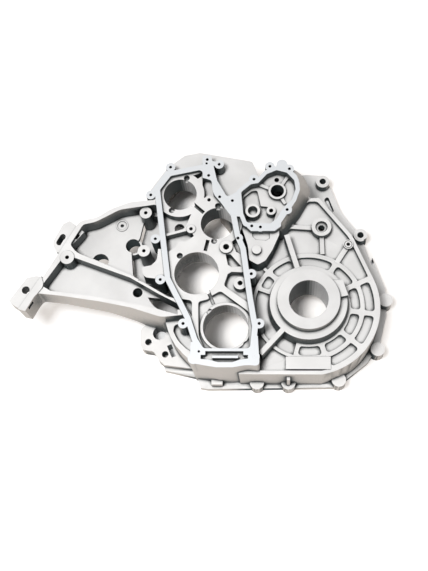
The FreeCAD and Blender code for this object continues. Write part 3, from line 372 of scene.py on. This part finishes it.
def ranged(tree, source, low, high, to_low=0.0, to_high=1.0):
    """Maps one stretch of a value onto another, and holds it at the ends."""
    made = tree.nodes.new("ShaderNodeMapRange")
    made.interpolation_type = "SMOOTHSTEP"
    tree.links.new(source, made.inputs["Value"])
    for name, setting in (("From Min", low), ("From Max", high),
                          ("To Min", to_low), ("To Max", to_high)):
        made.inputs[name].default_value = setting
    return made.outputs["Result"]


def blended(tree, factor, first, second, kind="MIX"):
    """Two colours, each fixed or from a socket, blended by a factor."""
    made = tree.nodes.new("ShaderNodeMix")
    made.data_type = "RGBA"
    made.blend_type = kind
    for name, side in (("Factor", factor), ("A", first), ("B", second)):
        socket = [put for put in made.inputs if put.name == name and put.enabled][0]
        if isinstance(side, bpy.types.NodeSocket):
            tree.links.new(side, socket)
        else:
            socket.default_value = side
    return [put for put in made.outputs if put.enabled][0]


def sheltered(tree, distance):
    """How open a spot is to its surroundings on the casting itself, from 0 to 1."""
    made = add(tree, "ShaderNodeAmbientOcclusion", Distance=distance * MM)
    made.samples = 8
    made.only_local = True
    return made.outputs["AO"]


CAST_SKIN = (0.75, 0.74, 0.73, 1)
CAST_PALE = (0.83, 0.82, 0.81, 1)
MILLED = (0.78, 0.80, 0.82, 1)
# Painted light: walls are darker and warmer than faces that look up, and the deep wall colour is
# painted shade for walls the casting encloses.
WALL_OPEN = (0.62, 0.57, 0.52, 1)
WALL_DEEP_SHADE = (0.03, 0.04, 0.042, 1)
# Painted shade: corners and the foot of each wall are darkened by short-range occlusion.
CORNER_SHADE = (0.08, 0.09, 0.09, 1)
LINE_SHADE = (0.35, 0.35, 0.36, 1)
ENCLOSED_REACH = 60
CORNER_REACH = 8
LINE_REACH = 3
# Painted light: the lit colour of the west-facing walls inside the bores.
BORE_LIT_WALL = (0.97, 0.97, 0.97, 1)
# Place and radius of each bore.
BORES = [(0, 0, 31), (-209, 184, 27.5), (-146, 132, 27.5), (-178, 46, 36), (-130, -42, 36)]


def inside_bore(tree, place, x, y, radius, edge):
    """One within an upright bore, and zero further out than its edge."""
    flat = tree.nodes.new("ShaderNodeVectorMath")
    flat.operation = "MULTIPLY"
    flat.inputs[1].default_value = (1, 1, 0)
    tree.links.new(place, flat.inputs[0])
    away = tree.nodes.new("ShaderNodeVectorMath")
    away.operation = "DISTANCE"
    away.inputs[1].default_value = (x * MM, y * MM, 0)
    tree.links.new(flat.outputs["Vector"], away.inputs[0])
    return ranged(tree, away.outputs["Value"], radius * MM, (radius + edge) * MM, 1, 0)


def together(tree, first, second, operation):
    """Two values joined by one sum."""
    made = tree.nodes.new("ShaderNodeMath")
    made.operation = operation
    tree.links.new(first, made.inputs[0])
    tree.links.new(second, made.inputs[1])
    return made.outputs[0]


def in_any_bore(tree, place, east, north, more, edge):
    """One within any of the five bores, each moved and widened alike."""
    found = None
    for x, y, radius in BORES:
        here = inside_bore(tree, place, x + east, y + north, radius + more, edge)
        found = here if found is None else together(tree, found, here, "MAXIMUM")
    return found


def cast_aluminium():
    """Shot-blasted casting milled on top, with painted light: faces that look up paler than walls,
    painted shade in cavities and corners, a painted lit side in the bores.
    """
    made = bpy.data.materials.new("cast_aluminium")
    made.use_nodes = True
    tree = made.node_tree
    tree.nodes.clear()
    out = tree.nodes.new("ShaderNodeOutputMaterial")
    skin = add(tree, "ShaderNodeBsdfPrincipled", Metallic=0.2, Base_Color=CAST_SKIN)
    tree.links.new(skin.outputs["BSDF"], out.inputs["Surface"])
    place = tree.nodes.new("ShaderNodeTexCoord")
    geometry = tree.nodes.new("ShaderNodeNewGeometry")
    height = tree.nodes.new("ShaderNodeSeparateXYZ")
    tree.links.new(place.outputs["Object"], height.inputs["Vector"])
    facing = tree.nodes.new("ShaderNodeSeparateXYZ")
    tree.links.new(geometry.outputs["True Normal"], facing.inputs["Vector"])

    top = ranged(tree, height.outputs["Z"], MACHINED_TOP - 0.8 * MM, MACHINED_TOP - 0.4 * MM)
    level = ranged(tree, facing.outputs["Z"], 0.9, 0.98)
    machined = together(tree, top, level, "MULTIPLY")
    reach = tree.nodes.new("ShaderNodeVectorMath")
    reach.operation = "LENGTH"
    tree.links.new(place.outputs["Object"], reach.inputs[0])
    outside_hub = ranged(tree, reach.outputs["Value"], 55 * MM, 60 * MM)
    off_arm = ranged(tree, height.outputs["X"], -290 * MM, -285 * MM)
    milled = together(tree, machined, outside_hub, "MULTIPLY")
    milled = together(tree, milled, off_arm, "MULTIPLY")
    upward = ranged(tree, facing.outputs["Z"], 0.35, 0.9)

    cloud = add(tree, "ShaderNodeTexNoise", Scale=22.0, Detail=3.0)
    tree.links.new(place.outputs["Object"], cloud.inputs["Vector"])
    patch = ranged(tree, cloud.outputs["Fac"], 0.3, 0.7)
    face = blended(tree, patch, CAST_SKIN, CAST_PALE)
    face = blended(tree, milled, face, MILLED)
    # Painted shade: walls darken towards near black the more the casting encloses them.
    openness = ranged(tree, sheltered(tree, ENCLOSED_REACH), 0.72, 0.99)
    wall = blended(tree, openness, WALL_DEEP_SHADE, WALL_OPEN)
    # Painted light: inside the bores the west-facing walls turn near white and more metallic, a
    # painted lit side with painted sheen.
    bored = in_any_bore(tree, place.outputs["Object"], 0, 0, 0.4, 1)
    west = ranged(tree, facing.outputs["X"], -0.55, 0.1, 1, 0)
    bore_lit_side = together(tree, bored, west, "MULTIPLY")
    wall = blended(tree, bore_lit_side, wall, BORE_LIT_WALL)
    tree.links.new(ranged(tree, bore_lit_side, 0, 1, 0.2, 0.85), skin.inputs["Metallic"])
    # Painted light: faces that look up take the pale cast colour, and walls take the darker
    # painted-shade wall colour.
    tone = blended(tree, upward, wall, face)
    # Painted shade in corners, from occlusion over a few millimetres.
    crease = ranged(tree, sheltered(tree, CORNER_REACH), 0.4, 0.86)
    painted_corner_shade = blended(tree, crease, CORNER_SHADE, (1, 1, 1, 1))
    tone = blended(tree, 1.0, tone, painted_corner_shade, "MULTIPLY")
    # Painted shade: a thin dark outline along concave edges, from very short-range occlusion.
    line = ranged(tree, sheltered(tree, LINE_REACH), 0.5, 0.85)
    tone = blended(tree, 1.0, tone, blended(tree, line, LINE_SHADE, (1, 1, 1, 1)), "MULTIPLY")
    tree.links.new(tone, skin.inputs["Base Color"])

    polish = ranged(tree, machined, 0, 1, 0.55, 0.35)
    tree.links.new(polish, skin.inputs["Roughness"])
    grain = add(tree, "ShaderNodeTexNoise", Scale=900.0, Detail=2.0)
    tree.links.new(place.outputs["Object"], grain.inputs["Vector"])
    bump = add(tree, "ShaderNodeBump", Strength=0.1, Distance=0.4 * MM)
    tree.links.new(grain.outputs["Fac"], bump.inputs["Height"])
    tree.links.new(bump.outputs["Normal"], skin.inputs["Normal"])
    return made


def dressed_casting():
    """The solid with its small holes, low forms and softened edges, in one finish with painted
    light and shade.
    """
    casting = casting_copy()
    for corner_round in CORNER_ROUNDS:
        fillet_corners(casting, *corner_round)
    cut(casting, small_holes())
    casting = joined([casting, small_forms()], "casting")
    soften(casting, 1.2, 40)
    casting.data.materials.clear()
    casting.data.materials.append(cast_aluminium())
    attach(casting, "root")
    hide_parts("housing")
    return casting


def seen_plainly(tree):
    """One for rays that look, mirror or pass through, and zero for rays that only light."""
    path = tree.nodes.new("ShaderNodeLightPath")
    total = None
    for name in ("Is Camera Ray", "Is Glossy Ray", "Is Transmission Ray"):
        if total is None:
            total = path.outputs[name]
            continue
        both = tree.nodes.new("ShaderNodeMath")
        both.operation = "MAXIMUM"
        tree.links.new(total, both.inputs[0])
        tree.links.new(path.outputs[name], both.inputs[1])
        total = both.outputs[0]
    return total


# The floor glows where it is open; near and under the casting the glow fades by occlusion, a
# painted shade.
PAPER_GLOW = 0.56
BORE_POOL_GLOW = 0.32
# The painted pool of light on the floor below the bores: shift east and north, widening, and width
# of its soft edge.
BORE_LIGHT = (32, 20, -16, 42)
SKY_LIGHT = 0.19


def floor():
    """White paper: it looks white, and it keeps a light shadow; near the casting its glow fades in
    a brownish painted shade, and below the bores it has painted pools of light.
    """
    bpy.ops.object.select_all(action="DESELECT")
    bpy.ops.mesh.primitive_plane_add(size=12, location=(0, 0, FLOOR))
    ground = bpy.context.active_object
    ground.name = "floor"
    paper = bpy.data.materials.new("paper")
    paper.use_nodes = True
    tree = paper.node_tree
    tree.nodes.clear()
    out = tree.nodes.new("ShaderNodeOutputMaterial")
    lit = add(tree, "ShaderNodeBsdfDiffuse", Color=(0.9, 0.9, 0.9, 1))
    # Painted shade: the glow fades by ambient occlusion near and under the casting.
    cover = add(tree, "ShaderNodeAmbientOcclusion", Distance=0.15)
    cover.samples = 16
    open_ground = ranged(tree, cover.outputs["AO"], 0.22, 0.4)
    # Painted shadow tint: white under the casting, bluish grey in the open, so with the warm glow
    # the open paper is white and the fading glow leaves a brownish painted shade.
    shown = tree.nodes.new("ShaderNodeBsdfDiffuse")
    tree.links.new(blended(tree, open_ground, (1, 1, 1, 1), (0.66, 0.69, 0.72, 1)),
                   shown.inputs["Color"])
    glow = add(tree, "ShaderNodeEmission", Color=(1, 0.92, 0.85, 1))
    place = tree.nodes.new("ShaderNodeTexCoord")
    # Painted light: a glowing pool on the floor below each bore, shifted as if lit through it.
    below = in_any_bore(tree, place.outputs["Object"], *BORE_LIGHT)
    below = ranged(tree, below, 0, 1, 0, BORE_POOL_GLOW)
    around = ranged(tree, open_ground, 0, 1, 0, PAPER_GLOW)
    tree.links.new(together(tree, around, below, "MAXIMUM"), glow.inputs["Strength"])
    sheet = tree.nodes.new("ShaderNodeAddShader")
    tree.links.new(shown.outputs["BSDF"], sheet.inputs[0])
    tree.links.new(glow.outputs["Emission"], sheet.inputs[1])
    pick = tree.nodes.new("ShaderNodeMixShader")
    tree.links.new(seen_plainly(tree), pick.inputs["Fac"])
    tree.links.new(lit.outputs["BSDF"], pick.inputs[1])
    tree.links.new(sheet.outputs["Shader"], pick.inputs[2])
    tree.links.new(pick.outputs["Shader"], out.inputs["Surface"])
    ground.data.materials.append(paper)
    return ground


def lamp(name, place, target, width, watts, colour):
    """A square soft lamp that looks at its target."""
    data = bpy.data.lights.new(name, "AREA")
    data.shape = "SQUARE"
    data.size = width
    data.energy = watts
    data.color = colour
    made = bpy.data.objects.new(name, data)
    bpy.context.scene.collection.objects.link(made)
    made.location = place
    made.rotation_mode = "QUATERNION"
    made.rotation_quaternion = (Vector(target) - Vector(place)).to_track_quat("-Z", "Y")
    return made


def studio():
    """One soft lamp high in the west, a weak warm fill and an even sky."""
    middle = ((cad_box[0].x + cad_box[1].x) / 2, (cad_box[0].y + cad_box[1].y) / 2, 0)
    lamp("key", (-0.76, -0.47, 2.88), middle, 0.7, 67, (1, 1, 1))
    lamp("fill", (-0.2, -2.2, 1.6), middle, 1.6, 6, (1, 0.97, 0.94))
    world = bpy.data.worlds.new("studio")
    bpy.context.scene.world = world
    world.use_nodes = True
    tree = world.node_tree
    back = tree.nodes["Background"]
    back.inputs["Color"].default_value = (1, 1, 1, 1)
    tree.links.new(ranged(tree, seen_plainly(tree), 0, 1, SKY_LIGHT, 1.0), back.inputs["Strength"])


def camera():
    """Looks down from the south, with its own sideways, upward and backward axes."""
    data = bpy.data.cameras.new("camera")
    data.sensor_width = 36
    data.lens = 56.8
    data.clip_start = 0.05
    data.clip_end = 50
    made = bpy.data.objects.new("camera", data)
    bpy.context.scene.collection.objects.link(made)
    side = Vector((0.99674683, 0.02232441, -0.07744267))
    up = Vector((0.00397577, 0.9460834, 0.32389875))
    back = Vector((0.08049808, -0.32315295, 0.94291687))
    turn = Matrix((side, up, back)).transposed().to_4x4()
    made.matrix_world = Matrix.Translation((-0.03406, -0.43811, 1.34419)) @ turn
    bpy.context.scene.camera = made


dressed_casting()
floor()
studio()
camera()
bpy.context.scene.view_settings.view_transform = "Standard"
